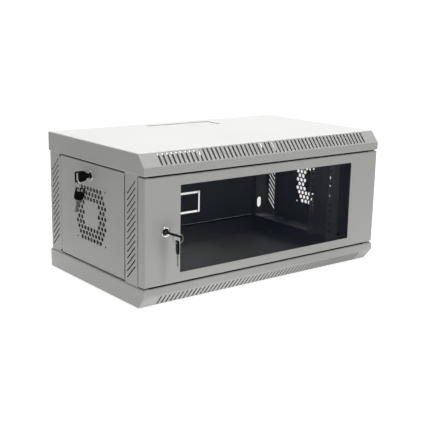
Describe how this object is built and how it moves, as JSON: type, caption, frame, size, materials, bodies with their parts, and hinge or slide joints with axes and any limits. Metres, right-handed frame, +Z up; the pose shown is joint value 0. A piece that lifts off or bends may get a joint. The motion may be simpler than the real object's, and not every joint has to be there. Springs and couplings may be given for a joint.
{
  "type": "wall mount network cabinet",
  "caption": "Low wall-mounted 19-inch network cabinet: welded pan-and-post case, windowed locking door, lift-off honeycomb-vented side panels with cam locks, adjustable punched rails",
  "frame": {"origin": "centre of the underside of the bottom pan, where the cabinet would stand on a bench", "axes": "+X to the right seen from the front (hinge side), +Y from the door to the wall, +Z up"},
  "size_m": [0.6341, 0.3922, 0.284],
  "materials": {
    "cabinet_paint": "light grey textured powder coat",
    "door_paint": "light grey textured powder coat",
    "rail_steel": "light grey powder coat",
    "tinted_glass": "smoke tinted, polished",
    "seal": "matt foam strip",
    "zinc": "zinc plated",
    "dark_fastener": "black oxide",
    "chrome": "bright plated",
    "plug_metal": "dull nickel",
    "key_head": "black moulding",
    "key_metal": "nickel plated, cut"
  },
  "bodies": {
    "cabinet": {"bottom_cover": "cabinet_paint", "bottom_entry_plate": "cabinet_paint", "top_cover": "cabinet_paint", "top_entry_plate": "cabinet_paint", "front_post_left": "cabinet_paint", "front_post_right": "cabinet_paint", "rear_post_left": "cabinet_paint", "rear_post_right": "cabinet_paint", "rear_panel": "cabinet_paint", "left_lock_keeper": "cabinet_paint", "right_lock_keeper": "cabinet_paint"},
    "door": {"door_frame": "door_paint", "door_window": "tinted_glass", "window_gasket": "seal", "window_clips": "zinc", "lower_hinge_pin": "zinc", "hinge_pin_housing": "zinc", "door_lock_body": "chrome", "door_lock_nut": "zinc"},
    "hinge_pin": {"upper_hinge_pin": "zinc"},
    "door_plug": {"door_lock_plug": "plug_metal", "door_lock_cam": "zinc", "door_lock_cam_screw": "zinc"},
    "door_key": {"door_key_bow": "key_head", "door_key_blade": "key_metal"},
    "door_ring": {"door_key_ring": "key_metal"},
    "door_spare_key": {"door_spare_key_bow": "key_head", "door_spare_key_blade": "key_metal"},
    "left_panel": {"left_side_panel": "cabinet_paint", "left_lock_body": "chrome", "left_lock_nut": "zinc"},
    "left_plug": {"left_lock_plug": "plug_metal", "left_lock_cam": "zinc", "left_lock_cam_screw": "zinc"},
    "left_key": {"left_key_bow": "key_head", "left_key_blade": "key_metal"},
    "left_ring": {"left_key_ring": "key_metal"},
    "left_spare_key": {"left_spare_key_bow": "key_head", "left_spare_key_blade": "key_metal"},
    "right_panel": {"right_side_panel": "cabinet_paint", "right_lock_body": "chrome", "right_lock_nut": "zinc"},
    "right_plug": {"right_lock_plug": "plug_metal", "right_lock_cam": "zinc", "right_lock_cam_screw": "zinc"},
    "front_left_rail": {"front_rail_left": "rail_steel", "front_rail_left_bolts": "dark_fastener"},
    "front_right_rail": {"front_rail_right": "rail_steel", "front_rail_right_bolts": "dark_fastener"},
    "rear_left_rail": {"rear_rail_left": "rail_steel", "rear_rail_left_bolts": "dark_fastener"},
    "rear_right_rail": {"rear_rail_right": "rail_steel", "rear_rail_right_bolts": "dark_fastener"}
  },
  "joints": [
    {"name": "door_hinge", "type": "hinge", "parent": "cabinet", "child": "door", "pos_m": [0.293, -0.169, 0.142], "axis": [0, 0, 1], "range_deg": [0, 115]},
    {"name": "upper_hinge_pin_slide", "type": "slide", "parent": "door", "child": "hinge_pin", "axis": [0, 0, -1], "range_m": [0, 0.008], "stiffness_N_per_m": 300, "springref_m": -0.005},
    {"name": "door_lock_turn", "type": "hinge", "parent": "door", "child": "door_plug", "pos_m": [-0.254, -0.175, 0.142], "axis": [0, 1, 0], "range_deg": [-90, 0]},
    {"name": "door_key_pull", "type": "slide", "parent": "door_plug", "child": "door_key", "axis": [0, -1, 0], "range_m": [-0.0057, 0.0163]},
    {"name": "door_key_ring_swing", "type": "hinge", "parent": "door_key", "child": "door_ring", "pos_m": [-0.25195, -0.21125, 0.13707], "axis": [0.5446, 0.8387, 0], "range_deg": [-40, 40]},
    {"name": "door_spare_key_swing", "type": "hinge", "parent": "door_ring", "child": "door_spare_key", "pos_m": [-0.25195, -0.21125, 0.12817], "axis": [0.8387, -0.5446, 0], "range_deg": [-25, 15]},
    {"name": "left_panel_tilt", "type": "hinge", "parent": "cabinet", "child": "left_panel", "pos_m": [-0.298, 0.0109, 0.0415], "axis": [0, -1, 0], "range_deg": [0, 20]},
    {"name": "left_lock_turn", "type": "hinge", "parent": "left_panel", "child": "left_plug", "pos_m": [-0.298, 0.0109, 0.219], "axis": [1, 0, 0], "range_deg": [-90, 0]},
    {"name": "left_key_pull", "type": "slide", "parent": "left_plug", "child": "left_key", "axis": [-1, 0, 0], "range_m": [-0.0015, 0.0185]},
    {"name": "left_key_ring_swing", "type": "hinge", "parent": "left_key", "child": "left_ring", "pos_m": [-0.3266, 0.0109, 0.2037], "axis": [1, 0, 0], "range_deg": [-40, 40]},
    {"name": "left_spare_key_swing", "type": "hinge", "parent": "left_ring", "child": "left_spare_key", "pos_m": [-0.3266, 0.0109, 0.19481], "axis": [0, 1, 0], "range_deg": [-25, 25]},
    {"name": "right_panel_tilt", "type": "hinge", "parent": "cabinet", "child": "right_panel", "pos_m": [0.298, 0.0109, 0.0415], "axis": [0, 1, 0], "range_deg": [0, 20]},
    {"name": "right_lock_turn", "type": "hinge", "parent": "right_panel", "child": "right_plug", "pos_m": [0.298, 0.0109, 0.219], "axis": [-1, 0, 0], "range_deg": [-90, 0]},
    {"name": "front_left_rail_slide", "type": "slide", "parent": "cabinet", "child": "front_left_rail", "axis": [0, -1, 0], "range_m": [0, 0.02]},
    {"name": "front_right_rail_slide", "type": "slide", "parent": "cabinet", "child": "front_right_rail", "axis": [0, -1, 0], "range_m": [0, 0.02]},
    {"name": "rear_left_rail_slide", "type": "slide", "parent": "cabinet", "child": "rear_left_rail", "axis": [0, 1, 0], "range_m": [0, 0.05]},
    {"name": "rear_right_rail_slide", "type": "slide", "parent": "cabinet", "child": "rear_right_rail", "axis": [0, 1, 0], "range_m": [0, 0.05]}
  ]
}
